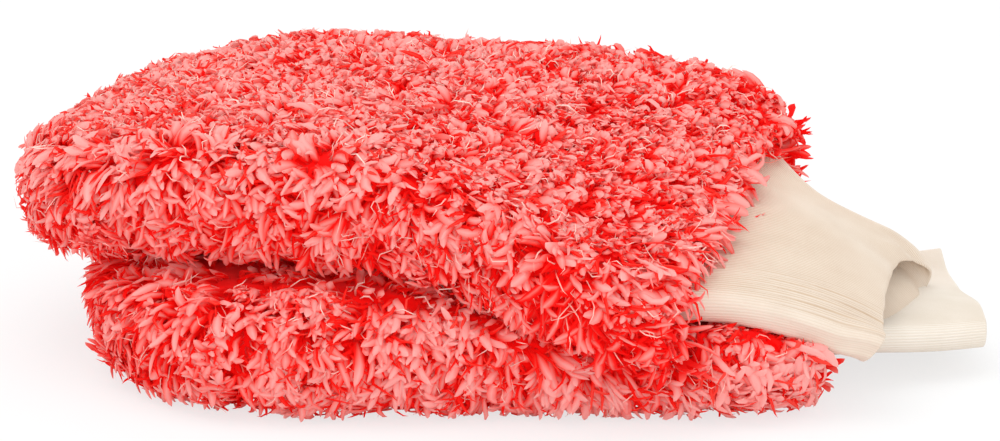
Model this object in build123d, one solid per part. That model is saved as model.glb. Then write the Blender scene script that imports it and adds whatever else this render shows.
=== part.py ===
from build123d import *
import math
import os
from dataclasses import dataclass

# Two wash mitts of one pattern, stored as a stack: the lower one lies flat on the table and the upper one
# lies across it, turned a little, and drapes over it at both ends.
# Each mitt is a flat hand pouch of two base cloths that carry a deep looped pile, a two-panel lining inside,
# the seams that join them, and a knitted rib cuff that bends at the pouch's mouth.
# Millimetres, +Z up. The origin is the centre of the face that the lower mitt rests on.
# In a mitt's own frame, x runs from the fingertips to the mouth and y runs across the hand. Its middle
# surface, in which the top and the bottom panels are sewn together, is at z = 0 where the mitt isn't draped.

# Hand pouch
pouch_length = 217.0          # base cloth, from the fingertip end to the mouth edge
pouch_width = 148.0           # base cloth, side seam to side seam
tip_radius = 58.0             # plan radius of the two fingertip corners of the base cloth
tip_fullness = 0.54           # height at the fingertip end, as a share of the full height
tip_swell = 0.6               # how soon the height grows from there; 1 follows the corner's own round
pocket_gap = 11.0             # clear height of the hand pocket
lining_thickness = 0.8
base_cloth_thickness = 1.2

# Pile, which stands on the base cloth all round
pile_height = 14.0            # above and below the pouch
side_pile = 14.0
mouth_pile = 15.0             # how far the pile hangs over the cuff past the mouth edge
pile_edge_radius = 18.0       # how the pile rounds over at its sides
mouth_round = 26.0            # how far before the mouth edge the pile begins to round off
mouth_narrowing = 30.0        # how much half the pile's width would lose in a full round at the mouth
mouth_fullness = 0.55         # height that the pile would keep in a full round at the mouth
mouth_round_share = 0.94      # share of that round that is there
pressed_pile = 3.0            # what is left of the pile where the other mitt presses on it
greatest_edge_share = 0.46    # of a section's height, the most that its edge radius may be
past_mouth = 17.0             # how far the layers are drawn past the mouth, before they are cut off

# Tufts, in which the pile stands where nothing presses on it, with a dip between each three of them
dip_spacing = 19.0
dip_depth = 4.5
dip_radius = 9.0
dip_margin = 13.0             # from the pile's edge in to the nearest dip's middle
dip_rise = 6.0                # how far the cone that cuts a dip stands above the pile

# Seams, inside the pouch
seam_thickness = 1.0
side_seam_height = 6.0
cuff_seam_length = 5.0
seam_end_gap = 1.5            # from the mouth edge back to the seam that holds the cuff

# Cuff, a rib tube folded double at its hem
cuff_length = 62.0
cuff_wall = 1.6               # both plies
cuff_root_width = 125.0
cuff_fit = 0.3                # between the cuff's root and the pouch, above and below
cuff_setback = 2.0            # from the mouth edge out to the axis on which the cuff bends
cuff_turn_gap = 0.6           # between the bending cuff and the pile round it

stack_gap = 0.3               # between the two mitts
stack_rise = 1.8              # of the upper mitt's middle, over that of a flat mitt on a flat mitt

# How finely the forms are drawn
corner_steps = (0, 24, 45, 66, 90)    # degrees round a fingertip corner
pouch_spans = 6
body_spans = 4
mouth_spans = 3
cuff_spans = 4
tip_curve = 1.7               # how a drop sets in toward the fingertips; 1 is a straight slope
mouth_curve = 1.4             # the same toward the mouth

half_pocket = pocket_gap / 2
half_lining = half_pocket + lining_thickness
half_pouch = half_lining + base_cloth_thickness
half_pile = half_pouch + pile_height
pouch_half_width = pouch_width / 2
body_length = side_pile + pouch_length + mouth_pile
body_tip = -body_length / 2
pouch_tip = body_tip + side_pile
mouth = pouch_tip + pouch_length
cuff_axis = mouth + cuff_setback
cuff_root_height = pocket_gap - 2 * cuff_fit
reach = 2 * body_length       # longer than any piece, for cutting blocks


@dataclass
class Mitt:
    """One mitt's place in the stack, and how it drapes. Lengths in mm and angles in degrees."""
    name: str
    centre: tuple             # place of the mitt's own origin
    yaw: float                # turn about the vertical
    flat_below: bool          # a flat table presses its pile, so the underside doesn't drop with it
    free_above: bool          # nothing lies on its upper side, whose pile stands in tufts
    tip_drop: float           # how much lower the middle surface is at the fingertip end
    tip_bend: float           # x at which that drop begins
    mouth_drop: float         # how much lower it is at the mouth edge
    mouth_roll: float         # how far the mouth edge is rolled, with its front side down
    mouth_turn: float         # how far the mouth edge is turned in plan
    mouth_bend: float         # x at which these three begin
    root_slope: float         # how steeply the cuff leaves the mouth, below the level
    hem_slope: float          # the same at the hem
    hem_width: float
    hem_height: float
    hem_roll: float
    hem_turn: float           # how far the hem is turned in plan
    hem_shift: float          # how far the hem lies to the back
    swing_up: float           # what the pile leaves free for the cuff, above the mouth's own direction
    swing_down: float         # the same below it

    def where(self):
        return Location(self.centre, (0, 0, self.yaw))

    def toward_tip(self, x):
        return max(0, (self.tip_bend - x) / (self.tip_bend - body_tip))

    def toward_mouth(self, x):
        return max(0, (x - self.mouth_bend) / (mouth - self.mouth_bend))

    def drop(self, x):
        return self.tip_drop * self.toward_tip(x) ** tip_curve + self.mouth_drop * self.toward_mouth(x) ** mouth_curve

    def roll(self, x):
        return math.radians(self.mouth_roll * self.toward_mouth(x))

    def turn(self, x):
        return math.radians(self.mouth_turn * self.toward_mouth(x))


LOWER = Mitt(
    name="lower", centre=(0, 0, half_pile), yaw=0, flat_below=True, free_above=False,
    tip_drop=0, tip_bend=-30, mouth_drop=6, mouth_roll=0, mouth_turn=0, mouth_bend=25,
    root_slope=2, hem_slope=3, hem_width=92, hem_height=9.6, hem_roll=0, hem_turn=-2, hem_shift=11,
    swing_up=8, swing_down=10,
)
UPPER = Mitt(
    name="upper", centre=(-22.0, 8.8, 3 * half_pile + stack_rise), yaw=-17, flat_below=False, free_above=True,
    tip_drop=14, tip_bend=-30, mouth_drop=17, mouth_roll=10, mouth_turn=2, mouth_bend=25,
    root_slope=2, hem_slope=38, hem_width=95, hem_height=13, hem_roll=7, hem_turn=-7, hem_shift=2,
    swing_up=22, swing_down=14,
)


def section_plane(mitt, x):
    """The plane across the mitt at x. Its own x runs across the hand and its own y runs up."""
    roll, turn = mitt.roll(x), mitt.turn(x)
    across = (math.sin(turn), math.cos(turn) * math.cos(roll), math.cos(turn) * math.sin(roll))
    onward = (math.cos(turn), -math.sin(turn) * math.cos(roll), -math.sin(turn) * math.sin(roll))
    return Plane((x, 0, -mitt.drop(x)), across, onward)


def tip_stations(outset):
    """(x, half width, fullness) round the fingertip corners of a layer outset from the base cloth's edge."""
    radius = tip_radius + outset
    rows = []
    for degrees in corner_steps:
        angle = math.radians(degrees)
        x = pouch_tip - outset + radius * (1 - math.cos(angle))
        half_width = pouch_half_width + outset - radius * (1 - math.sin(angle))
        rows.append((x, half_width, tip_fullness + (1 - tip_fullness) * math.sin(angle) ** tip_swell))
    return rows


def straight_stations(rows, end, count):
    """Stations of full width and height from the last of rows to x = end."""
    start, half_width, fullness = rows[-1]
    return [(start + (end - start) * i / count, half_width, fullness) for i in range(1, count + 1)]


def loft_stations(mitt, rows, half_height, edge_radius, squeezed=False):
    faces = []
    for x, half_width, fullness in rows:
        squeeze = mitt.drop(x) if squeezed else 0
        height = 2 * half_height * fullness - squeeze
        radius = min(edge_radius, greatest_edge_share * height)
        centred = section_plane(mitt, x) * Pos(0, squeeze / 2)
        faces.append(centred * RectangleRounded(2 * half_width, height, radius))
    return loft(faces, ruled=True)


def pillow(mitt, outset, half_height):
    """The closed form of one layer of the pouch, carried on past the mouth."""
    rows = tip_stations(outset)
    rows += straight_stations(rows, mouth + past_mouth, pouch_spans)
    return loft_stations(mitt, rows, half_height, half_height)


def pile_stations(room=0):
    """(x, half width, fullness) of the pile's outer form, which rounds off over the cuff."""
    rows = tip_stations(side_pile + room)
    rows += straight_stations(rows, mouth - mouth_round, body_spans)
    for step in range(1, mouth_spans + 1):
        share = step / mouth_spans
        fall = 1 - math.sqrt(1 - (share * mouth_round_share) ** 2)
        half_width = pouch_half_width + side_pile + room - mouth_narrowing * fall
        x = mouth - mouth_round + (mouth_round + mouth_pile + room) * share
        rows.append((x, half_width, 1 - (1 - mouth_fullness) * fall))
    return rows


def pile_form(mitt, room=0):
    """The outer form of the pile, with some room round it."""
    return loft_stations(mitt, pile_stations(room), half_pile + room, pile_edge_radius + room, mitt.flat_below)


def between(rows, x):
    """(half width, fullness) at x, between the stations on each side of it."""
    for (start, *first), (end, *second) in zip(rows, rows[1:]):
        if start <= x <= end:
            share = (x - start) / (end - start)
            return [a + (b - a) * share for a, b in zip(first, second)]
    return 0, 0


def dips(mitt):
    """Shallow cones, point down, that part the upper side's pile into tufts."""
    rows = pile_stations()
    cut_radius = dip_radius * (dip_depth + dip_rise) / dip_depth
    cone = Rot(-90, 0, 0) * Cone(0, cut_radius, dip_depth + dip_rise)
    onward = dip_spacing * math.sqrt(3) / 2
    beside = int((pouch_half_width + side_pile) / dip_spacing) + 1
    places = []
    for i in range(1, int(body_length / onward) + 1):
        x = body_tip + i * onward
        half_width, fullness = between(rows, x)
        for j in range(-beside, beside + 1):
            y = (j + (i % 2) / 2) * dip_spacing
            if abs(y) < half_width - dip_margin and x < mouth:
                middle = half_pile * fullness + (dip_rise - dip_depth) / 2
                places.append(section_plane(mitt, x) * Pos(y, middle, 0) * cone)
    return places


def slab(mitt, low, high):
    """The space between two heights from the mitt's middle surface, wider and longer than the mitt."""
    rows = tip_stations(side_pile)
    xs = [body_tip - side_pile] + [row[0] for row in rows]
    xs += [row[0] for row in straight_stations(rows, mouth + 2 * mouth_pile, pouch_spans)]
    faces = []
    for x in xs:
        level = Pos(0, (low + high) / 2)
        faces.append(section_plane(mitt, x) * level * Rectangle(2 * pouch_width, high - low))
    return loft(faces, ruled=True)


def up_to(mitt, x):
    """Everything on the fingertip side of the section at x."""
    return section_plane(mitt, x) * Pos(0, 0, -reach / 2) * Box(reach, reach, reach)


def mouth_room(mitt):
    """The wedge in the pile, through which the cuff leaves the mouth and in which it bends."""
    plane = section_plane(mitt, cuff_axis)
    frame = Plane(plane.origin, x_dir=plane.z_dir, z_dir=-plane.x_dir)
    length = 2 * mouth_pile
    half_root = cuff_root_height / 2 + cuff_turn_gap
    up, down = math.radians(mitt.swing_up), math.radians(mitt.swing_down)
    outline = Polyline(
        (-cuff_setback, half_pouch),
        (0, half_pouch),
        (length, (half_root + length * math.sin(up)) / math.cos(up)),
        (length, -(half_root + length * math.sin(down)) / math.cos(down)),
        (0, -half_pouch),
        (-cuff_setback, -half_pouch),
        close=True,
    )
    return extrude(frame * make_face(outline), cuff_root_width / 2 + 2 * cuff_turn_gap, both=True)


def cuff_stations(mitt):
    """(share of the way, cross plane, width, height) of the cuff from its root to its hem."""
    level = Vector(0, 0, 1)
    place = Vector(cuff_axis, 0, -mitt.drop(cuff_axis))
    rows = []
    last = 0
    for share in [i / cuff_spans for i in range(cuff_spans + 1)]:
        turn = mitt.turn(cuff_axis) * (1 - share) + math.radians(mitt.hem_turn) * share
        onward = Vector(math.cos(turn), -math.sin(turn), 0)
        side = Vector(math.sin(turn), math.cos(turn), 0)
        step = math.radians(mitt.root_slope + (mitt.hem_slope - mitt.root_slope) * (share + last) / 2)
        place += (onward * math.cos(step) - level * math.sin(step)) * cuff_length * (share - last)
        slope = math.radians(mitt.root_slope + (mitt.hem_slope - mitt.root_slope) * share)
        roll = mitt.roll(cuff_axis) * (1 - share) + math.radians(mitt.hem_roll) * share
        ahead = onward * math.cos(slope) - level * math.sin(slope)
        up = onward * math.sin(slope) + level * math.cos(slope)
        across = side * math.cos(roll) + up * math.sin(roll)
        width = cuff_root_width + (mitt.hem_width - cuff_root_width) * math.sin(share * math.pi / 2)
        height = cuff_root_height + (mitt.hem_height - cuff_root_height) * share
        centre = place + side * mitt.hem_shift * share ** 2
        rows.append((Plane(centre, across, ahead), width, height))
        last = share
    return rows


def cuff_form(mitt, inset):
    """The cuff's form, inset from its outer face."""
    rows = cuff_stations(mitt)
    return loft([p * SlotOverall(w - 2 * inset, h - 2 * inset) for p, w, h in rows], ruled=True)


def cuff_room(mitt):
    """The cuff's form with stack_gap round it, and the way up that it takes when its mitt is lifted off."""
    faces = []
    for plane, width, height in cuff_stations(mitt):
        wide, tall = width + 2 * stack_gap, height + 2 * stack_gap
        rise = Pos(0, half_pile) * Rectangle(wide, 2 * half_pile)
        faces.append(plane * (SlotOverall(wide, tall) + rise))
    return loft([f.faces()[0] for f in faces], ruled=True)


def make_mitt(mitt):
    """Every piece of one mitt, in its own frame, by node name."""
    inner = -lining_thickness - base_cloth_thickness
    pocket = pillow(mitt, inner, half_pocket)
    lining = pillow(mitt, -base_cloth_thickness, half_lining)
    pouch = pillow(mitt, 0, half_pouch)
    seam_face = pillow(mitt, inner - seam_thickness, half_pocket - seam_thickness)
    above = slab(mitt, 0, 3 * half_pile)
    to_mouth = up_to(mitt, mouth)
    cuff_seam_end = mouth - seam_end_gap
    to_cuff_seam = up_to(mitt, cuff_seam_end - cuff_seam_length)

    pieces = {}
    pile_shell = pile_form(mitt) - pouch - mouth_room(mitt)
    pieces["pile_top"] = pile_shell & above
    if mitt.free_above:
        pieces["pile_top"] -= dips(mitt)
    pieces["pile_bottom"] = pile_shell - above
    cloth_shell = (pouch - lining) & to_mouth
    pieces["base_cloth_top"] = cloth_shell & above
    pieces["base_cloth_bottom"] = cloth_shell - above
    lining_shell = (lining - pocket) & to_mouth
    pieces["lining_top"] = lining_shell & above
    pieces["lining_bottom"] = lining_shell - above
    seam_ring = pocket - seam_face
    pieces["side_seam"] = seam_ring & slab(mitt, -side_seam_height / 2, side_seam_height / 2) & to_cuff_seam
    pieces["cuff_seam"] = (seam_ring & up_to(mitt, cuff_seam_end)) - to_cuff_seam
    pieces["cuff"] = cuff_form(mitt, 0) - cuff_form(mitt, cuff_wall)
    return pieces


def main():
    placed = {}
    for mitt in (LOWER, UPPER):
        for name, piece in make_mitt(mitt).items():
            placed[mitt.name + "_" + name] = mitt.where() * piece
    # The upper mitt sinks into the pile that carries it, down to a thin pressed layer round the lower pouch.
    layer = LOWER.where() * pillow(LOWER, pressed_pile, half_pouch + pressed_pile)
    layer_room = LOWER.where() * pillow(LOWER, pressed_pile + stack_gap, half_pouch + pressed_pile + stack_gap)
    sunk = UPPER.where() * pile_form(UPPER, stack_gap) - layer
    room = UPPER.where() * cuff_room(UPPER)
    for name in ("lower_pile_top", "lower_pile_bottom"):
        placed[name] = placed[name] - sunk - room
    placed["upper_pile_bottom"] = placed["upper_pile_bottom"] - layer_room
    os.makedirs("parts", exist_ok=True)
    for name, piece in placed.items():
        export_step(piece, "parts/" + name + ".step")
        print(name, "solids", len(piece.solids()), "volume", round(piece.volume))


main()
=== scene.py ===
# %% [markdown]
# # A stacked pair of plush wash mitts
# The CAD model gives each mitt as plain closed solids: two pile shells, two base cloths, a lining, two seams
# and a rib cuff. It has the sizes and the joints. Here the same mitts get the surface that the eye expects:
# thousands of soft split-fibre strands and a knitted cuff.
# Everything is in metres and stays where the CAD puts it.

import math

import bmesh
import bpy
import numpy as np
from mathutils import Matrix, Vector, kdtree, noise
from mathutils.bvhtree import BVHTree


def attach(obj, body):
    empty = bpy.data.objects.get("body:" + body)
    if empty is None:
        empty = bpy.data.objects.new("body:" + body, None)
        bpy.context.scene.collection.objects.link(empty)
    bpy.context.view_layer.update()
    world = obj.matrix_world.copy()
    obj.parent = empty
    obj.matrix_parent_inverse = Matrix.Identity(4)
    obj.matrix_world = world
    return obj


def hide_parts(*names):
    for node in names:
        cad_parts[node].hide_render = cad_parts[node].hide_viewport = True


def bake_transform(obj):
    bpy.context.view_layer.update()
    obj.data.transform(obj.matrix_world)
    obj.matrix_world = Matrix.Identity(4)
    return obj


MM = 0.001
rng = np.random.default_rng(11)
noise.seed_set(11)   # or the noise would differ from run to run
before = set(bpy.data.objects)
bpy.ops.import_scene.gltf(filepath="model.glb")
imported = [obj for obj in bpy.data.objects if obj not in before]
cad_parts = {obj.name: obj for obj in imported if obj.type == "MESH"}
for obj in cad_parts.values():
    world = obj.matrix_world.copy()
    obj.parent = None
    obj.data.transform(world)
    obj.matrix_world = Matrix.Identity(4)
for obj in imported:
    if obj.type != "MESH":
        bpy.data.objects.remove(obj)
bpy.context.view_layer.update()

# %% [markdown]
# ## Small helpers
# A mitt is soft, so nearly every piece here starts from a CAD solid, is reshaped, and is kept as a plain mesh.
# These helpers merge CAD nodes into one mesh, apply modifiers, and make materials.

# %% Mesh helpers
def new_object(name, mesh):
    """An object in the scene, at the origin."""
    made = bpy.data.objects.new(name, mesh)
    bpy.context.scene.collection.objects.link(made)
    return made


def merged_nodes(name, *nodes):
    """One object with the surfaces of several CAD nodes, their loose triangles joined up."""
    bm = bmesh.new()
    for node in nodes:
        bm.from_mesh(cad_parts[node].data)
    bmesh.ops.remove_doubles(bm, verts=bm.verts, dist=0.01 * MM)
    mesh = bpy.data.meshes.new(name)
    bm.to_mesh(mesh)
    bm.free()
    return new_object(name, mesh)


def apply_modifiers(made):
    """Keeps what the modifiers make, and takes them off."""
    graph = bpy.context.evaluated_depsgraph_get()
    mesh = bpy.data.meshes.new_from_object(made.evaluated_get(graph))
    made.modifiers.clear()
    old, made.data = made.data, mesh
    mesh.name = made.name
    bpy.data.meshes.remove(old)
    return made


def points_of(mesh):
    """The mesh's vertices as rows of numbers."""
    rows = np.empty(len(mesh.vertices) * 3)
    mesh.vertices.foreach_get("co", rows)
    return rows.reshape(-1, 3)


def set_points(mesh, rows):
    mesh.vertices.foreach_set("co", np.asarray(rows, float).ravel())
    mesh.update()


def surface_tree(made):
    """A search tree over an object's surface, for nearest points and rays."""
    mesh = made.data
    return BVHTree.FromPolygons([v.co.copy() for v in mesh.vertices], [tuple(p.vertices) for p in mesh.polygons])


def discard(made):
    mesh = made.data
    bpy.data.objects.remove(made)
    bpy.data.meshes.remove(mesh)


# %% Material helpers
def linear(code):
    """An sRGB hex colour as the linear numbers that shaders take."""
    parts = [int(code[i:i + 2], 16) / 255 for i in (1, 3, 5)]
    return [p / 12.92 if p <= 0.04045 else ((p + 0.055) / 1.055) ** 2.4 for p in parts] + [1.0]


def add(tree, kind, links=None, **settings):
    """Adds a node to a material. settings are its properties or sockets, and links name what feeds its sockets."""
    node = tree.nodes.new("ShaderNode" + kind)
    for name, value in settings.items():
        if hasattr(node, name):
            setattr(node, name, value)
        else:
            node.inputs[name.replace("_", " ")].default_value = value
    for name, source in (links or {}).items():
        tree.links.new(source, node.inputs[name])
    return node


def ramp(tree, source, stops, mode="LINEAR"):
    """A colour ramp through (place, hex colour) stops."""
    node = add(tree, "ValToRGB", {"Fac": source})
    node.color_ramp.interpolation = mode
    while len(node.color_ramp.elements) < len(stops):
        node.color_ramp.elements.new(0.5)
    for element, (place, code) in zip(node.color_ramp.elements, stops):
        element.position = place
        element.color = linear(code)
    return node.outputs["Color"]


def fabric(name, roughness, sheen, sheen_roughness=0.4, sheen_tint="#FFFFFF"):
    """A material with one Principled shader for cloth, and its node tree."""
    made = bpy.data.materials.new(name)
    made.use_nodes = True
    tree = made.node_tree
    tree.nodes.clear()
    shader = add(tree, "BsdfPrincipled", Roughness=roughness, Sheen_Weight=sheen, Sheen_Roughness=sheen_roughness,
                 Sheen_Tint=linear(sheen_tint), Specular_IOR_Level=0.2)
    add(tree, "OutputMaterial", {"Surface": shader.outputs["BSDF"]})
    return made, tree, shader


# %% [markdown]
# ## The pile's colours
# The pile is polyester and polyamide microfibre, dyed coral red, in split strands that bloom into soft ribbons.
# The deep red low in the pile is painted shade where the strands crowd together, and the pale pink of the
# brushed tips is a painted sheen.
# So colour follows an attribute that runs from 0 at a strand's root to 1 at its tip, and a second one gives
# each strand a tone of its own. Both are kept on the mesh, so that the colours stay with the strands.

# %% Strand materials
def strand_material(name, stops, spread, sheen, through):
    """Microfibre: its colour runs from root to tip, from painted deep red shade to a painted pale sheen, each strand
    is a little lighter or darker, and part of the light goes through it and comes out tinted behind."""
    made, tree, shader = fabric(name, 0.85, sheen, 0.5, "#FFE6E0")
    along = add(tree, "Attribute", attribute_name="along")
    tone = add(tree, "Attribute", attribute_name="tone")
    shift = add(tree, "Math", {0: tone.outputs["Fac"]}, operation="MULTIPLY_ADD")
    shift.inputs[1].default_value = spread
    shift.inputs[2].default_value = -spread / 2
    total = add(tree, "Math", {0: along.outputs["Fac"], 1: shift.outputs[0]}, operation="ADD", use_clamp=True)
    colour = ramp(tree, total.outputs[0], stops)
    tree.links.new(colour, shader.inputs["Base Color"])
    glow = add(tree, "BsdfTranslucent", {"Color": colour})
    mixed = add(tree, "MixShader", {1: shader.outputs["BSDF"], 2: glow.outputs["BSDF"]}, Fac=through)
    output = next(n for n in tree.nodes if n.type == "OUTPUT_MATERIAL")
    tree.links.new(mixed.outputs[0], output.inputs["Surface"])
    return made


# Each ramp runs from painted deep red shade at the root end to a painted pale sheen at the tip end.
ribbon_cloth = strand_material(
    "split_microfibre_ribbon",
    ((0.0, "#FF0C06"), (0.16, "#FF2C22"), (0.34, "#FF766C"), (0.56, "#FFA69E"), (0.9, "#FFCAC4")), 0.38, 0.2, 0.45)
strand_cloth = strand_material(
    "dyed_microfibre_strand", ((0.0, "#FF0402"), (0.4, "#FF1008"), (0.75, "#FF2418"), (1.0, "#FF5A4C")), 0.3, 0.1, 0.45)
thread_cloth = strand_material(
    "undyed_fibre_thread", ((0.0, "#FF5040"), (0.3, "#FFC0B2"), (1.0, "#FFF0E6")), 0.2, 0.3, 0.3)
ground_cloth, tree, shader = fabric("pile_ground_knit", 0.9, 0.1)
spots = add(tree, "TexNoise", {"Vector": add(tree, "TexCoord").outputs["Object"]}, Scale=1 / (6 * MM), Detail=3.0)
tree.links.new(ramp(tree, spots.outputs["Fac"], ((0.3, "#F40403"), (0.7, "#FF0C06"))), shader.inputs["Base Color"])

# %% [markdown]
# ## The mitts in the stack
# Each mitt has a place, a turn about the vertical and a name. The strands are combed in a mitt's own
# directions, so these come first.

# %% Places of the two mitts
MITTS = {
    "lower": {"centre": Vector((0, 0, 21.5)) * MM, "yaw": 0.0},
    "upper": {"centre": Vector((-22.0, 8.8, 66.3)) * MM, "yaw": math.radians(-17)},
}
for mitt in MITTS.values():
    mitt["ahead"] = Vector((math.cos(mitt["yaw"]), math.sin(mitt["yaw"]), 0))
    mitt["side"] = Vector((-math.sin(mitt["yaw"]), math.cos(mitt["yaw"]), 0))

# %% [markdown]
# ## The ground of the pile
# Between the strands the eye falls into a dense red mass of roots. A closed soft body stands for it: the two
# CAD pile shells are joined and remeshed, drawn in to half the pile's depth, and swollen a little as cloth
# with pressure inside, so that it dimples as a stuffed mitt does. The strands grow on it.

# %% Make the ground of each mitt
CELL = 4 * MM               # of the remesh
MOUTH_RIM = 2.6 * MM        # nearer than this to the base cloth, the pile's face is the rim round the mouth
GROUND_SHARE = 0.66         # how far out the ground lies, from the base cloth to the pile's face
SWELL = 2 * MM              # the most that the cloth gives
CLOTH_FRAMES = 15
PRESSURE = 4


def settle(made, pinned, cap):
    """Swells a soft body as cloth, but moves no vertex by more than cap."""
    rest = points_of(made.data)
    group = made.vertex_groups.new(name="pinned")
    group.add([int(i) for i in np.flatnonzero(pinned)], 1.0, "REPLACE")
    cloth = made.modifiers.new("Cloth", "CLOTH")
    cloth.settings.use_pressure = True
    cloth.settings.uniform_pressure_force = PRESSURE
    cloth.settings.effector_weights.gravity = 0
    cloth.settings.vertex_group_mass = "pinned"
    cloth.settings.quality = 4
    scene = bpy.context.scene
    for step in range(1, CLOTH_FRAMES + 1):
        scene.frame_set(step)
    apply_modifiers(made)
    moved = points_of(made.data) - rest
    length = np.linalg.norm(moved, axis=1, keepdims=True)
    set_points(made.data, rest + moved * np.minimum(1, cap / np.maximum(length, 1e-9)))
    scene.frame_set(1)
    print(made.name, "settled by up to", round(float(length.max()) / MM, 1), "mm")


def pile_ground(mitt):
    """The ground of one mitt's pile, and the search trees of its outer form and of its base cloth."""
    form = merged_nodes(mitt + "_form", mitt + "_pile_top", mitt + "_pile_bottom")
    form_tree = surface_tree(form)
    cloth = merged_nodes(mitt + "_cloth", mitt + "_base_cloth_top", mitt + "_base_cloth_bottom")
    cloth_tree = surface_tree(cloth)
    discard(cloth)
    form.name = mitt + "_pile_ground"
    remesh = form.modifiers.new("Remesh", "REMESH")
    remesh.mode = "VOXEL"
    remesh.voxel_size = CELL
    ground = apply_modifiers(form)
    rows = points_of(ground.data)
    near = np.array([cloth_tree.find_nearest(Vector(p))[0][:] for p in rows])
    off = np.linalg.norm(rows - near, axis=1)
    outer = off > MOUTH_RIM
    rows[outer] = near[outer] + (rows[outer] - near[outer]) * GROUND_SHARE
    set_points(ground.data, rows)
    settle(ground, ~outer, SWELL)
    ground.data.shade_smooth()
    ground.data.materials.clear()
    ground.data.materials.append(ground_cloth)
    print(ground.name, len(ground.data.vertices), "vertices")
    return ground, form_tree, cloth_tree


for name, mitt in MITTS.items():
    mitt["ground"], mitt["form"], mitt["cloth"] = pile_ground(name)

# %% [markdown]
# ## One strand
# A strand is a thin closed tube with three sides. It starts as a prism, is cut across at a few stations, and
# each ring is scaled to the strand's width there. Its far end is drawn to a point. Thousands of copies follow,
# so it has only about thirty faces.

# %% Strand templates
def strand_template(stations, widths):
    """(vertices, triangles) of a straight strand along Z from 0 to 1, one unit wide either side."""
    bm = bmesh.new()
    bmesh.ops.create_cone(bm, cap_ends=True, segments=3, radius1=1, radius2=1, depth=1)
    bmesh.ops.translate(bm, verts=bm.verts, vec=(0, 0, 0.5))
    for place in stations[1:-1]:
        geometry = bm.verts[:] + bm.edges[:] + bm.faces[:]
        bmesh.ops.bisect_plane(bm, geom=geometry, plane_co=(0, 0, place), plane_no=(0, 0, 1))
    tip = [v for v in bm.verts if v.co.z > 1 - 1e-4]
    bmesh.ops.pointmerge(bm, verts=tip, merge_co=(0, 0, 1))
    for vert in bm.verts:
        wide = float(np.interp(vert.co.z, stations, widths))
        vert.co.x, vert.co.y = vert.co.x * wide, vert.co.y * wide
    bmesh.ops.triangulate(bm, faces=bm.faces)
    bmesh.ops.recalc_face_normals(bm, faces=bm.faces)
    bm.verts.index_update()
    rows = np.array([v.co[:] for v in bm.verts])
    faces = np.array([[v.index for v in f.verts] for f in bm.faces])
    bm.free()
    return rows, faces, stations


TEMPLATES = {
    name: strand_template(stations, widths) for name, (stations, widths) in {
        "ribbon": ((0, 0.2, 0.4, 0.6, 0.78, 0.93, 1.0), (0.45, 0.75, 1.0, 1.0, 0.9, 0.5, 0.0)),
        "strand": ((0, 0.2, 0.42, 0.64, 0.86, 1.0), (0.7, 0.95, 1.0, 0.9, 0.55, 0.0)),
        "thread": ((0, 0.25, 0.5, 0.75, 1.0), (1.0, 1.0, 0.9, 0.7, 0.0)),
    }.items()
}
for name, (rows, faces, _) in TEMPLATES.items():
    print(name, len(rows), "vertices", len(faces), "triangles")

# %% [markdown]
# ## Where the strands stand and how they lie
# Roots are spread over the ground by area, thinner where nobody looks: under the stack and between the mitts.
# Strands grow in tufts. Those of one tuft lean the same way and close at their tips, and dark red gaps open
# between tufts. The comb direction follows gravity on the sides and wanders on top.

# %% Sow the roots
SPACING = 1.47 * MM
HIDDEN_SPACING = 3.2 * MM
IN_THE_CLOTH = 0.9 * MM     # a root this near to the base cloth would stand in its mouth rim
DEEPEST = 30 * MM           # past this depth a ray went through the pocket
TABLE_NEAR = 3 * MM
OTHER_NEAR = 12 * MM        # the pile is hidden where the other mitt is this near


def sow(mitt, spacing, hidden_spacing, other_tree):
    """Roots over a mitt's ground: (places, normals, depth of pile there, hidden or not)."""
    mesh = MITTS[mitt]["ground"].data
    mesh.calc_loop_triangles()
    rows = points_of(mesh)
    tris = np.array([t.vertices[:] for t in mesh.loop_triangles])
    normals = np.array([v.normal[:] for v in mesh.vertices])
    a, b, c = (rows[tris[:, i]] for i in range(3))
    areas = np.linalg.norm(np.cross(b - a, c - a), axis=1) / 2
    count = int(areas.sum() / spacing ** 2)
    picked = rng.choice(len(tris), count, p=areas / areas.sum())
    u, v = rng.random(count), rng.random(count)
    over = u + v > 1
    u[over], v[over] = 1 - u[over], 1 - v[over]
    w = 1 - u - v
    places = a[picked] * w[:, None] + b[picked] * u[:, None] + c[picked] * v[:, None]
    facing = sum(normals[tris[picked, i]] * k[:, None] for i, k in enumerate((w, u, v)))
    facing /= np.linalg.norm(facing, axis=1, keepdims=True)
    thin = (spacing / hidden_spacing) ** 2
    lot = rng.random(count)
    kept = []
    for i in range(count):
        place, normal = Vector(places[i]), Vector(facing[i])
        near, _, _, off = MITTS[mitt]["cloth"].find_nearest(place)
        if off < IN_THE_CLOTH or (place - near).dot(normal) < 0:
            continue
        depth = way_out(MITTS[mitt]["form"], place, normal)
        if depth is None or depth > DEEPEST:
            continue
        out = place + normal * (depth + 0.5 * MM)
        on_table = out.z < TABLE_NEAR and normal.z < -0.5
        hidden = on_table or other_tree.ray_cast(out, normal, OTHER_NEAR)[0] is not None
        if hidden and lot[i] > thin:
            continue
        kept.append((i, depth, hidden))
    index = np.array([k[0] for k in kept])
    print(mitt, len(index), "roots,", sum(k[2] for k in kept), "of them hidden")
    return places[index], facing[index], np.array([k[1] for k in kept]), np.array([k[2] for k in kept])


def way_out(tree, place, normal):
    """How far it is from a root to the pile's outer face, past the plane in which the two shells meet."""
    start, gone = place, 0.0
    for _ in range(4):
        hit, _, _, far = tree.ray_cast(start, normal, 60 * MM)
        if hit is None:
            return None
        gone += far
        again = tree.ray_cast(hit + normal * 0.01 * MM, normal, 0.5 * MM)[0]
        if again is None:
            return gone
        start = again + normal * 0.01 * MM
    return gone


for name, other in (("lower", "upper"), ("upper", "lower")):
    MITTS[name]["roots"] = sow(name, SPACING, HIDDEN_SPACING, MITTS[other]["form"])

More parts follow.
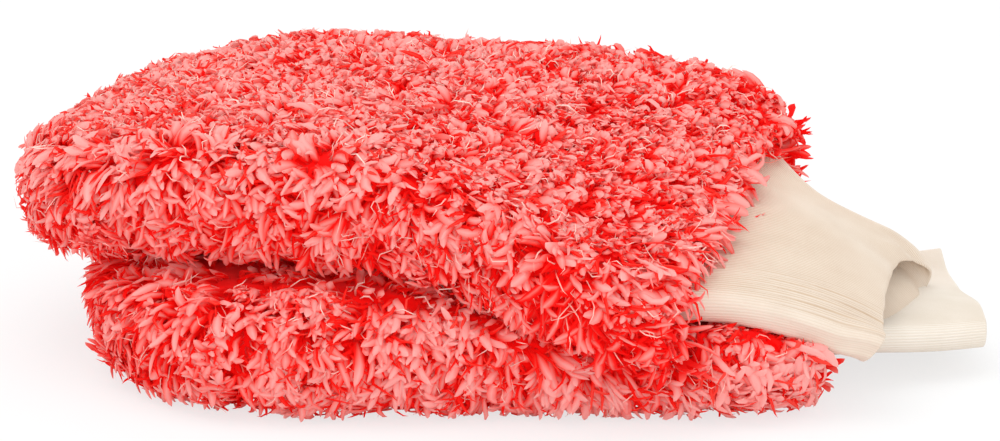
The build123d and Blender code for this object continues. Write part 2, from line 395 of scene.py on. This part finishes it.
# %% [markdown]
# ## Growing the strands
# Each strand follows a spine of its own: it leaves the root near the normal, leans over and curls as it goes.
# The template's rings are then set on the spine. The strand's length is chosen so that it just reaches the
# outer form that the CAD model gives, and a few wisps stand out of it. At the mouth some tufts are longer and
# hang over the cuff as a fringe, and beside the upper cuff the pile is pressed flat.

# %% Tufts and comb directions
def unit(rows):
    return rows / np.maximum(np.linalg.norm(rows, axis=-1, keepdims=True), 1e-9)


BROAD_SWIRL = 30 * MM       # how broad the partings in the pile are
FINE_SWIRL = 11 * MM


def combed(mitt, places, normals):
    """The direction along the surface in which the pile lies at each place."""
    swirl = np.array([noise.noise_vector(Vector(p) / BROAD_SWIRL)[:] for p in places])
    swirl += 0.7 * np.array([noise.noise_vector(Vector(p) / FINE_SWIRL + Vector((7, 3, 1)))[:] for p in places])
    outward = places - np.array(MITTS[mitt]["centre"])
    outward[:, 2] *= 0.3
    wish = 1.3 * swirl + 0.45 * unit(outward) + np.array((0, 0, -0.8))
    wish -= normals * (wish * normals).sum(1, keepdims=True)
    return unit(wish)


def nearest(places, centres):
    tree = kdtree.KDTree(len(centres))
    for i, centre in enumerate(centres):
        tree.insert(Vector(centre), i)
    tree.balance()
    return np.array([tree.find(Vector(p))[1] for p in places])


# %% Spines and strands
def spines(roots, normals, tangents, lengths, lean, swing, stations, pull, wave):
    """Points and directions along each strand: (points, ways), one row for each station."""
    binormals = np.cross(normals, tangents)
    count, steps = len(roots), len(stations)
    points = np.zeros((count, steps, 3))
    ways = np.zeros((count, steps, 3))
    for k, place in enumerate(stations):
        tilt = lean[:, 0] + (lean[:, 1] - lean[:, 0]) * place ** 1.2
        turn = swing[:, 0] + (swing[:, 1] - swing[:, 0]) * place
        flat = np.cos(turn)[:, None] * tangents + np.sin(turn)[:, None] * binormals
        ways[:, k] = np.cos(tilt)[:, None] * normals + np.sin(tilt)[:, None] * flat
    for k in range(1, steps):
        step = stations[k] - stations[k - 1]
        points[:, k] = points[:, k - 1] + unit(ways[:, k] + ways[:, k - 1]) * step
    height = (points * normals[:, None]).sum(2).max(1)
    reach = np.clip(lengths[:, 0] / np.maximum(height, 0.12), lengths[:, 1], lengths[:, 2])
    points = points * reach[:, None, None] + roots[:, None]
    along = np.array(stations)[None, :, None]
    points += pull[:, None] * along ** 1.5
    ways = unit(np.gradient(points, axis=1))
    across = unit(np.cross(ways, normals[:, None]))
    over = np.cross(across, ways)
    for way, size in ((across, wave), (over, 0.7 * wave)):
        beat = rng.uniform(0.6, 1.5, count)[:, None, None]
        start = rng.random(count)[:, None, None]
        bulge = np.sin(2 * np.pi * (beat * along + start)) - np.sin(2 * np.pi * start)
        points += way * bulge * size[:, None, None] * along ** 0.5
    return points, unit(np.gradient(points, axis=1))


def strand_mesh(name, template, stations, points, ways, normals, width, thick, roll, tone, along, rim):
    """One mesh of all these strands: the template's rings set on each spine. rim is how much painted highlight a
    strand gets on its ridge and how much painted shade at its edges."""
    rows, faces, _ = template
    count, per = len(points), len(rows)
    ring = np.array([int(np.argmin(np.abs(np.array(stations) - z))) for z in rows[:, 2]])
    across = unit(np.cross(ways, normals[:, None]))
    up = np.cross(across, ways)
    turn = roll[:, None, None]
    wide = np.cos(turn) * across + np.sin(turn) * up
    tall = -np.sin(turn) * across + np.cos(turn) * up
    places = points[:, ring] + wide[:, ring] * (rows[:, 0] * 1.0)[None, :, None] * width[:, None, None]
    places += tall[:, ring] * rows[:, 1][None, :, None] * thick[:, None, None]
    mesh = bpy.data.meshes.new(name)
    mesh.vertices.add(count * per)
    mesh.vertices.foreach_set("co", places.ravel())
    corners = (faces[None] + (np.arange(count) * per)[:, None, None]).reshape(-1, 3)
    mesh.loops.add(corners.size)
    mesh.loops.foreach_set("vertex_index", corners.ravel())
    mesh.polygons.add(len(corners))
    mesh.polygons.foreach_set("loop_start", np.arange(len(corners)) * 3)
    mesh.update(calc_edges=True)
    mesh.shade_smooth()
    mesh.set_sharp_from_angle(angle=math.radians(105))   # a ribbon's two edges stay crisp
    # Painted light: the ridge moves up the colour ramp (paler) and the edges move down it (deeper red).
    along = along[:, ring] + rim[0] * rows[:, 1] - rim[1] * np.abs(rows[:, 0])
    for label, values in (("along", along), ("tone", np.repeat(tone[:, None], per, 1))):
        mesh.attributes.new(label, "FLOAT", "POINT").data.foreach_set("value", values.astype(np.float32).ravel())
    return mesh


def angles(low, high, count):
    return np.radians(rng.uniform(low, high, count))


# rim: painted highlight on a strand's ridge and painted shade at its edges, as shares of the colour ramp.
KINDS = {
    "ribbon": {"share": 0.58, "cloth": ribbon_cloth, "width": (0.85, 1.9), "thick": (0.35, 0.6), "wave": (0.3, 0.9),
               "rim": (0.2, 0.28)},
    "strand": {"share": 0.31, "cloth": strand_cloth, "width": (0.45, 0.85), "thick": (0.35, 0.5), "wave": (0.5, 1.3),
               "rim": (0.16, 0.1)},
    "thread": {"share": 0.12, "cloth": thread_cloth, "width": (0.17, 0.32), "thick": (0.16, 0.28), "wave": (0.6, 2.0),
               "rim": (0.0, 0.0)},
}
MOST_TRIANGLES = 190_000    # in one mesh
# Where the pile lies flat beside the upper cuff: shares against mm onward and aside of a mitt's centre, the least
# height above it, and how much paler the strands are there.
# Shortened strands stay low in the colour ramp and so take more of its painted deep red shade; under the upper cuff
# this paints the cuff's shadow on the lower pile.
FLATTENED = {
    "lower": {"onward": ((52, 62), (0, 1)), "aside": ((-98, -92, -60, -50), (0, 1, 1, 0)), "above": 3, "tone": 0.0},
    "upper": {"onward": ((97, 104), (0, 1)), "aside": ((12, 30, 60, 68), (0, 1, 1, 0)), "above": -99, "tone": 0.9},
}


TUFT = 18                   # strands in a tuft
FRINGE_FROM = 98            # mm onward of a mitt's centre, from where the tufts at the mouth make a fringe
FRINGE_ASIDE = 12           # mm aside of it, up to where they do
FRINGE_SHARE = 0.4          # of those tufts, how many are long
LONG = 1.5                  # how many times as long they are
SHORTEST, LONGEST, LONGEST_FRINGE = 6, 13, 18    # mm
STRAND_DEPTH = 0.6 * MM     # a strand's own thickness, kept inside the pile's outer face
OVER_TABLE = 0.9 * MM
# side: painted shade on strands that face sideways or down, away from the top light; mouth: deeper or paler from
# fingertips to mouth.
PAINTED_SIDE_SHADE_AND_MOUTH_TONE = {"lower": {"side": 0.0, "mouth": 0.7}, "upper": {"side": -0.65, "mouth": -0.3}}


def grow(mitt):
    """Every strand of a mitt. Its side value paints shade on the strands that face sideways or down (deeper below
    0), and its mouth value makes the strands deeper or paler from its fingertips to its mouth."""
    places, normals, depth, hidden = MITTS[mitt]["roots"]
    count = len(places)
    tangents = combed(mitt, places, normals)
    centre_index = rng.choice(count, count // TUFT, replace=False)
    owner = nearest(places, places[centre_index])
    tuft = centre_index[owner]
    tuft_turn = angles(-40, 40, count)[tuft]
    upward = np.clip(normals[:, 2], 0, 1)
    tuft_lean = angles(30, 66, count)[tuft] * (1 - 0.35 * upward)
    tuft_height = rng.uniform(0.92, 1.18, count)[tuft]
    tuft_tone = rng.random(count)[tuft]
    binormals = np.cross(normals, tangents)
    ahead, side = (np.array(MITTS[mitt][way]) for way in ("ahead", "side"))
    off = (places - np.array(MITTS[mitt]["centre"])) / MM
    onward, aside = off @ ahead, off @ side
    fringe = (onward > FRINGE_FROM) & (aside < FRINGE_ASIDE)
    flat = FLATTENED[mitt]
    flattened = np.interp(onward, *flat["onward"]) * np.interp(aside, *flat["aside"]) * (off[:, 2] > flat["above"])
    tangents = tangents + 1.2 * fringe[:, None] * ahead
    long_tuft = (fringe & (upward > 0.1) & (rng.random(count) < FRINGE_SHARE))[tuft]
    combed_way = np.cos(tuft_turn)[:, None] * tangents[tuft] + np.sin(tuft_turn)[:, None] * binormals[tuft]
    tangents = unit(combed_way - normals * (combed_way * normals).sum(1, keepdims=True))
    pull = (places[tuft] - places)
    pull -= normals * (pull * normals).sum(1, keepdims=True)
    lot = rng.random(count)
    low = 0
    for kind, facts in KINDS.items():
        chosen = np.flatnonzero((lot >= low) & (lot < low + facts["share"]))
        low += facts["share"]
        n = len(chosen)
        lean_start = tuft_lean[chosen] + angles(-12, 12, n)
        lean_end = lean_start + (angles(20, 90, n) if kind != "thread" else angles(-20, 110, n))
        bend = angles(-80, 80, n) if kind == "ribbon" else angles(-150, 150, n)
        curled = rng.random(n) < 0.12
        bend = np.where(curled, bend * 2.2, bend)
        start_turn = angles(-25, 25, n)
        lean = np.stack([lean_start, lean_end], 1)
        swing = np.stack([start_turn, start_turn + bend], 1)
        rise = depth[chosen] * tuft_height[chosen] * rng.uniform(0.85, 1.12, n)
        wisp = rng.random(n) < {"ribbon": 0.04, "strand": 0.1, "thread": 0.24}[kind]
        rise += np.where(wisp & ~hidden[chosen], rng.uniform(0.5, 2.5, n) * MM, 0)
        rise = np.maximum(rise - STRAND_DEPTH, 1.0 * MM)
        rise = rise * np.where(long_tuft[chosen], LONG, 1 - 0.6 * flattened[chosen])
        shortest = (SHORTEST - 3.5 * flattened[chosen]) * MM
        longest = np.where(long_tuft[chosen], LONGEST_FRINGE, LONGEST) * MM
        lengths = np.stack([rise, shortest, longest], 1)
        drawn = pull[chosen] * rng.uniform(0.3, 0.85, n)[:, None]
        wave = rng.uniform(*facts["wave"], n) * MM
        stations = TEMPLATES[kind][2]
        points, ways = spines(places[chosen], normals[chosen], tangents[chosen], lengths, lean, swing, stations, drawn,
                              wave)
        points[:, :, 2] = np.maximum(points[:, :, 2], OVER_TABLE + 0.25 * np.maximum(points[:, :, 2], 0))
        width = rng.uniform(*facts["width"], n) * MM * (1 + 0.3 * upward[chosen])
        thick = rng.uniform(*facts["thick"], n) * MM
        roll = angles(-32, 32, n) * (1 + 0.8 * upward[chosen])
        # The side term paints shade on strands by how far they face away from the top (1 - upward).
        tone = 0.55 * rng.random(n) + 0.45 * tuft_tone[chosen] + PAINTED_SIDE_SHADE_AND_MOUTH_TONE[mitt]["side"] * (1 - upward[chosen])
        tone += PAINTED_SIDE_SHADE_AND_MOUTH_TONE[mitt]["mouth"] * np.clip(places[chosen, 0] / (120 * MM), -1, 1)
        tone += flat["tone"] * flattened[chosen]
        # along: how far up the pile a point of a strand stands; the ramps paint it a deeper red shade low in the pile.
        height = ((points - places[chosen][:, None]) * normals[chosen][:, None]).sum(2)
        along = np.clip(height / np.maximum(depth[chosen], 4 * MM)[:, None], 0, 1) * 0.75
        along = along + np.array(stations)[None] * 0.25
        most = MOST_TRIANGLES // len(TEMPLATES[kind][1])
        parts = np.array_split(np.arange(n), math.ceil(n / most))
        for i, part in enumerate(parts):
            name = f"{mitt}_pile_{kind}s_{i + 1}"
            mesh = strand_mesh(name, TEMPLATES[kind], stations, points[part], ways[part], normals[chosen][part],
                               width[part], thick[part], roll[part], tone[part], along[part], facts["rim"])
            mesh.materials.append(facts["cloth"])
            made = new_object(name, mesh)
            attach(made, mitt + "_mitt")
            print(name, len(part), "strands", len(mesh.polygons), "triangles")


for name, mitt in MITTS.items():
    grow(name)
    ground = mitt["ground"]
    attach(ground, name + "_mitt")
    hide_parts(name + "_pile_top", name + "_pile_bottom")

# %% [markdown]
# ## The rib cuffs
# A cuff is a tube of cream rib knit, folded double at its hem, so both its faces show the smooth side of the
# rib. It is made as the real one is: a flat panel with its ribs, folded over at the hem and rolled into a
# flattened tube, sewn shut, and laid along the cuff's bent middle line. The ribs are real ridges about one
# millimetre apart; a finer bump gives the stitches.

# %% Rib-knit material
def rib_knit(name, dark, light):
    """Cotton rib knit: matt, with a soft nap, with painted shade in the grooves between the ribs, with stitches 1.1 mm
    long.
    """
    made, tree, shader = fabric(name, 0.9, 0.12, 0.5, "#FFF6EA")
    place = add(tree, "TexCoord").outputs["Object"]
    patch = add(tree, "TexNoise", {"Vector": place}, Scale=1 / (14 * MM), Detail=2.0)
    cream = ramp(tree, patch.outputs["Fac"], ((0.3, dark), (0.7, light)))
    # Painted shade: the colour is darker down in the grooves between the ribs.
    depth = add(tree, "Attribute", attribute_name="rib")
    shade = ramp(tree, depth.outputs["Fac"], ((0.0, "#E6D8C6"), (0.7, "#FFFFFF")))
    tint = add(tree, "Mix", data_type="RGBA", blend_type="MULTIPLY")
    tint.inputs["Factor"].default_value = 1.0
    tree.links.new(cream, tint.inputs[6])
    tree.links.new(shade, tint.inputs[7])
    tree.links.new(tint.outputs[2], shader.inputs["Base Color"])
    knit = add(tree, "UVMap", uv_map="knit")
    stitch = add(tree, "TexWave", {"Vector": knit.outputs["UV"]}, Scale=1.0, Distortion=0.6, Detail=1.0,
                 bands_direction="Y")
    fuzz = add(tree, "TexNoise", {"Vector": place}, Scale=1 / (0.5 * MM), Detail=2.0)
    both = add(tree, "Math", {0: stitch.outputs["Fac"], 1: fuzz.outputs["Fac"]}, operation="ADD")
    bump = add(tree, "Bump", {"Height": both.outputs[0]}, Strength=0.25, Distance=0.15 * MM)
    tree.links.new(bump.outputs["Normal"], shader.inputs["Normal"])
    return made


CUFF_CLOTHS = {"lower": rib_knit("pale_cream_rib_knit", "#E2D9CC", "#E8E0D5"),
               "upper": rib_knit("cream_rib_knit", "#DCCDBD", "#E2D5C6")}

# %% The cuffs' middle lines
# Stations from the root to the hem: centre in mm, direction across the cuff, direction onward, width and
# height in mm. They are those of the CAD cuffs.
CUFFS = {
    "lower": (
        ((110.0, 0.0, 15.3), (0.0, 1.0, 0.0), (0.9994, 0.0, -0.0349), 125.0, 10.4),
        ((125.48, 0.82, 14.72), (-0.0087, 1.0, 0.0), (0.9992, 0.0087, -0.0393), 112.4, 10.2),
        ((140.93, 3.16, 14.08), (-0.0175, 0.9998, 0.0), (0.9989, 0.0174, -0.0436), 101.7, 10.0),
        ((156.29, 7.0, 13.37), (-0.0262, 0.9997, 0.0), (0.9985, 0.0261, -0.048), 94.5, 9.8),
        ((171.54, 12.34, 12.59), (-0.0349, 0.9994, 0.0), (0.998, 0.0349, -0.0523), 92.0, 9.6)),
    "upper": (
        ((83.19, -23.36, 48.72), (0.327, 0.9282, 0.1777), (0.9447, -0.3262, -0.0349), 125.0, 10.4),
        ((97.97, -27.69, 46.97), (0.3148, 0.9354, 0.1608), (0.9398, -0.2835, -0.1908), 113.5, 11.05),
        ((112.52, -31.07, 42.83), (0.2976, 0.9442, 0.1408), (0.9097, -0.2357, -0.342), 103.8, 11.7),
        ((126.42, -33.45, 36.4), (0.2748, 0.9541, 0.1189), (0.8547, -0.1858, -0.4848), 97.3, 12.35),
        ((139.26, -34.82, 27.84), (0.2462, 0.9644, 0.096), (0.776, -0.1368, -0.6157), 95.0, 13.0)),
}
CUFF_LENGTH = 62.0
CUFF_WALL = 1.6
RIBS = 208
RIB_HEIGHT = 0.3
STITCH = 1.1
ROOT_SHARE = -0.045         # the panel starts a little before the first station, inside the mouth
FOLD_SHARE = 0.985          # and folds back just short of the last one


def through_stations(shares, values):
    """A smooth curve through the five stations' values, at each share of the way."""
    columns = np.array(values).T
    return np.stack([np.polyval(np.polyfit(np.linspace(0, 1, 5), column, 4), shares) for column in columns], 1)


# %% Make a cuff
def smooth(low, high, value):
    t = np.clip((value - low) / (high - low), 0, 1)
    return t * t * (3 - 2 * t)


def panel_rows():
    """(share of the way, inset from the outer face in mm) down the panel: out to the hem, over it and back."""
    rows = [(share, 0.0) for share in np.linspace(ROOT_SHARE, FOLD_SHARE, 46)]
    for angle in np.linspace(0, math.pi, 7)[1:-1]:
        past = 0.5 * CUFF_WALL / CUFF_LENGTH * math.sin(angle)
        rows.append((FOLD_SHARE + past, CUFF_WALL / 2 * (1 - math.cos(angle))))
    rows += [(share, CUFF_WALL) for share in np.linspace(FOLD_SHARE, ROOT_SHARE, 18)]
    return np.array(rows)


def slot_outline(around, width, height, inset):
    """(across, up, normal across, normal up) on a flattened tube, by the share of its length around."""
    radius = height / 2
    straight = width - height
    length = 2 * straight + 2 * math.pi * radius
    run = (around % 1.0) * length
    across, up, n_across, n_up = (np.zeros_like(run) for _ in range(4))
    a = run < straight
    across[a], up[a], n_up[a] = (run - straight / 2)[a], radius[a], 1
    arc = (run - straight) / radius
    b = (run >= straight) & (arc < math.pi)
    across[b] = (straight / 2 + radius * np.sin(arc))[b]
    up[b], n_across[b], n_up[b] = (radius * np.cos(arc))[b], np.sin(arc)[b], np.cos(arc)[b]
    back = run - straight - math.pi * radius
    c = (arc >= math.pi) & (back < straight)
    across[c], up[c], n_up[c] = (straight / 2 - back)[c], -radius[c], -1
    arc = (back - straight) / radius
    d = back >= straight
    across[d] = (-straight / 2 - radius * np.sin(arc))[d]
    up[d], n_across[d], n_up[d] = (-radius * np.cos(arc))[d], -np.sin(arc)[d], -np.cos(arc)[d]
    return across - n_across * inset, up - n_up * inset, n_across, n_up


def make_cuff(name, stations, drape, cloth):
    """A rib tube. drape(share, across, up) says how far the cloth is moved in mm: (across, up, out, onward)."""
    rows = panel_rows()
    columns = RIBS * 4
    bm = bmesh.new()
    bmesh.ops.create_grid(bm, x_segments=columns, y_segments=len(rows) - 1, size=0.5)
    bm.verts.index_update()
    flat = np.array([v.co[:2] for v in bm.verts]) + 0.5
    row = np.rint(flat[:, 1] * (len(rows) - 1)).astype(int)
    share, inset = rows[row, 0], rows[row, 1]
    centre = through_stations(share, [s[0] for s in stations])
    side = unit(through_stations(share, [s[1] for s in stations]))
    ahead = through_stations(share, [s[2] for s in stations])
    up_way = unit(np.cross(ahead, side))
    size = through_stations(share, [s[3:] for s in stations])
    rib = 0.5 - 0.5 * np.cos(2 * math.pi * RIBS * flat[:, 0])
    lies_out = 1 - np.clip(inset / CUFF_WALL, 0, 1) * 0.6
    across, up, n_across, n_up = slot_outline(flat[:, 0], size[:, 0], size[:, 1], inset)
    rib = 1 - (1 - rib) * (1 - 0.45 * smooth(0.86, 0.97, np.abs(across) / (size[:, 0] / 2)))
    ridge = RIB_HEIGHT * (rib - 1) * lies_out
    across, up = across + n_across * ridge, up + n_up * ridge
    d_across, d_up, d_out, d_ahead = drape(share, across / (size[:, 0] / 2), up / (size[:, 1] / 2))
    across, up = across + d_across + n_across * d_out, up + d_up + n_up * d_out
    places = (centre + side * across[:, None] + up_way * up[:, None] + unit(ahead) * d_ahead[:, None]) * MM
    knit = np.stack([flat[:, 0] * RIBS, share * CUFF_LENGTH / STITCH], 1)
    for vert, place in zip(bm.verts, places):
        vert.co = place
    layer = bm.loops.layers.uv.new("knit")
    for face in bm.faces:
        for loop in face.loops:
            loop[layer].uv = knit[loop.vert.index]
    depth = bm.verts.layers.float.new("rib")
    for vert, value in zip(bm.verts, rib):
        vert[depth] = float(value)
    bmesh.ops.remove_doubles(bm, verts=bm.verts, dist=0.02 * MM)
    rim = [e for e in bm.edges if e.is_boundary]
    bmesh.ops.bridge_loops(bm, edges=rim)
    bmesh.ops.recalc_face_normals(bm, faces=bm.faces)
    mesh = bpy.data.meshes.new(name)
    bm.to_mesh(mesh)
    bm.free()
    mesh.shade_smooth()
    mesh.materials.append(cloth)
    print(name, len(mesh.vertices), "vertices, open edges", sum(1 for e in edge_uses(mesh) if e != 2))
    return new_object(name, mesh)


def edge_uses(mesh):
    uses = np.zeros(len(mesh.edges), int)
    rows = np.empty(len(mesh.loops), int)
    mesh.loops.foreach_get("edge_index", rows)
    np.add.at(uses, rows, 1)
    return uses


def by_across(across, *values):
    """A smooth run of values from the front edge (across -1) to the back edge (across 1)."""
    place = (np.clip(across, -1, 1) + 1) / 2 * (len(values) - 1)
    low = np.clip(place.astype(int), 0, len(values) - 2)
    t = place - low
    values = np.array(values, float)
    return values[low] + (values[low + 1] - values[low]) * t * t * (3 - 2 * t)


def lower_drape(share, across, up):
    """The lower cuff lies flat and a little wavy, and its hem doesn't end in one straight line."""
    wavy = 1.2 * np.sin(3.1 * across + 4.0 * share) * smooth(0.1, 1.0, share)
    lifted = 4.0 * smooth(-0.3, -1.0, across) * (1 - smooth(0.2, 1.0, share))
    onward = by_across(across, -0.5, 0.2, -3.4, -4.6, -4.0) * smooth(0.45, 1.0, share)
    return np.zeros_like(share), wavy + lifted + 0.4, np.zeros_like(share), onward


def upper_drape(share, across, up):
    """The upper cuff falls over the lower one: grooves run along its front edge, its back corner curls down,
    its upper side sinks toward its under side at the hem, and its under side reaches further out."""
    grow_in = smooth(0.15, 0.9, share)
    front = smooth(-0.5, -0.7, across)
    folds = -1.0 * (0.5 + 0.5 * np.cos(2 * math.pi * across * 13)) ** 4 * front * grow_in
    back = smooth(0.1, 1.0, across)
    sag = -6.0 * back * np.sin(math.pi * np.clip(share * 1.1, 0, 1)) + 0.6 * np.sin(4 * across + 3 * share) * grow_in
    curl = -5.0 * smooth(0.6, 1.0, across) * smooth(0.72, 1.0, share)
    sunk = smooth(0.0, 0.5, across) * (1 - 0.5 * smooth(0.8, 1.0, across))
    curl -= 3.2 * np.maximum(up, 0) * sunk * smooth(0.5, 1, share)
    curl += smooth(-0.7, -1.0, across) * (3.6 * smooth(0.78, 1.0, share) - 1.6 * np.sin(math.pi * share))
    gather = -7.0 * back * np.sin(math.pi * np.clip(share * 1.15, 0, 1))
    onward = by_across(across, 3.4, 2.4, 1.2, 1.4, 2.6, 3.8, 5.0, 8.0, 13.0)
    under = by_across(across, 0.0, 0.8, 2.2, 4.5, 6.5, 7.8, 8.0, 6.5, 2.0)
    return gather, sag + curl, folds, (onward - up * under) * smooth(0.35, 1.0, share)


for name, drape in (("lower", lower_drape), ("upper", upper_drape)):
    cuff = make_cuff(name + "_rib_cuff", CUFFS[name], drape, CUFF_CLOTHS[name])
    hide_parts(name + "_cuff")
    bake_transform(cuff)

# %% [markdown]
# ## The cloths inside
# Under the pile lies the knitted base cloth that carries it, and inside that a smooth tricot lining, joined to it
# by overlocked seams. They are seen at the mouth and in the pocket. The CAD shapes are right as they are, so
# only their cloth is made here: each gets a fine procedural weave on its own coordinates.

# %% Materials of the cloths inside
def woven(name, dark, light, pitch, roughness=0.9, sheen=0.15):
    """A fine knit: two colours in a soft mottle, and a bump of loops at the given pitch."""
    made, tree, shader = fabric(name, roughness, sheen)
    place = add(tree, "TexCoord").outputs["Object"]
    mottle = add(tree, "TexNoise", {"Vector": place}, Scale=1 / (5 * MM), Detail=3.0)
    tree.links.new(ramp(tree, mottle.outputs["Fac"], ((0.3, dark), (0.7, light))), shader.inputs["Base Color"])
    loops = add(tree, "TexVoronoi", {"Vector": place}, Scale=1 / pitch)
    bump = add(tree, "Bump", {"Height": loops.outputs["Distance"]}, Strength=0.4, Distance=0.2 * MM)
    tree.links.new(bump.outputs["Normal"], shader.inputs["Normal"])
    return made


INSIDE = {
    "base_cloth": woven("knitted_base_cloth", "#D8281E", "#EE3C30", 1.3 * MM),
    "lining": woven("tricot_lining", "#E6DCCF", "#EFE7DC", 0.8 * MM, 0.75, 0.3),
    "seam": woven("overlock_thread", "#E4D8C4", "#F0E6D6", 0.6 * MM, 0.8),
}
for mitt in MITTS:
    for piece in ("base_cloth_top", "base_cloth_bottom", "lining_top", "lining_bottom", "side_seam", "cuff_seam"):
        kind = next(k for k in INSIDE if k in piece)
        slots = bpy.data.objects[mitt + "_" + piece].data.materials
        slots.clear()
        slots.append(INSIDE[kind])
print("cloths inside dressed:", ", ".join(INSIDE))

# %% [markdown]
# ## Floor, light and camera
# A plain white floor keeps a soft shadow, and broad soft lamps show the colours about as they are written.

# %% Floor
bpy.ops.mesh.primitive_plane_add(size=8, location=(0, 0, -0.2 * MM))
floor = bpy.context.object
floor.name = "floor"
paper = bpy.data.materials.new("white_paper_floor")
paper.use_nodes = True
tree = paper.node_tree
tree.nodes.clear()
lit = add(tree, "BsdfDiffuse", Color=linear("#F4F4F4"))
glow = add(tree, "Emission", Color=(1, 1, 1, 1), Strength=1.0)
path = add(tree, "LightPath")
seen = add(tree, "Math", {0: path.outputs["Is Camera Ray"], 1: path.outputs["Is Glossy Ray"]}, operation="MAXIMUM")
share = add(tree, "Math", {0: seen.outputs[0]}, operation="MULTIPLY")
share.inputs[1].default_value = 0.72
mixed = add(tree, "MixShader", {0: share.outputs[0], 1: lit.outputs[0], 2: glow.outputs[0]})
add(tree, "OutputMaterial", {"Surface": mixed.outputs[0]})
floor.data.materials.append(paper)

# %% World and lamps
world = bpy.data.worlds.new("studio")
bpy.context.scene.world = world
world.use_nodes = True
tree = world.node_tree
tree.nodes.clear()
soft = add(tree, "Background", Color=(1, 1, 1, 1), Strength=1.0)
white = add(tree, "Background", Color=(1, 1, 1, 1), Strength=1.0)
path = add(tree, "LightPath")
mixed = add(tree, "MixShader", {0: path.outputs["Is Camera Ray"], 1: soft.outputs[0], 2: white.outputs[0]})
add(tree, "OutputWorld", {"Surface": mixed.outputs[0]})


def lamp(name, place, target, size, power):
    """A square soft lamp that looks at a point."""
    data = bpy.data.lights.new(name, "AREA")
    data.size = size
    data.energy = power
    made = bpy.data.objects.new(name, data)
    made.location = place
    made.rotation_euler = (Vector(target) - Vector(place)).to_track_quat("-Z", "Y").to_euler()
    bpy.context.scene.collection.objects.link(made)


# Light goes from strand to strand many times before it leaves a deep pile, so it is followed further than usual.
rays = bpy.context.scene.cycles
rays.max_bounces = 32
rays.diffuse_bounces = 24
rays.transmission_bounces = 24
lamp("overhead_lamp", (-0.2, -0.25, 1.3), (0, 0, 0.04), 1.0, 5.0)
lamp("front_lamp", (0.3, -1.5, 0.5), (0, 0, 0.04), 0.8, 4.0)

# %% Camera
camera_data = bpy.data.cameras.new("camera")
camera_data.lens = 156.6
camera_data.sensor_width = 36
camera = bpy.data.objects.new("camera", camera_data)
camera.location = (0.013, -1.3938, 0.4437)
camera.rotation_euler = (math.radians(74), 0, 0)
bpy.context.scene.collection.objects.link(camera)
bpy.context.scene.camera = camera
bpy.context.scene.view_settings.view_transform = "Standard"
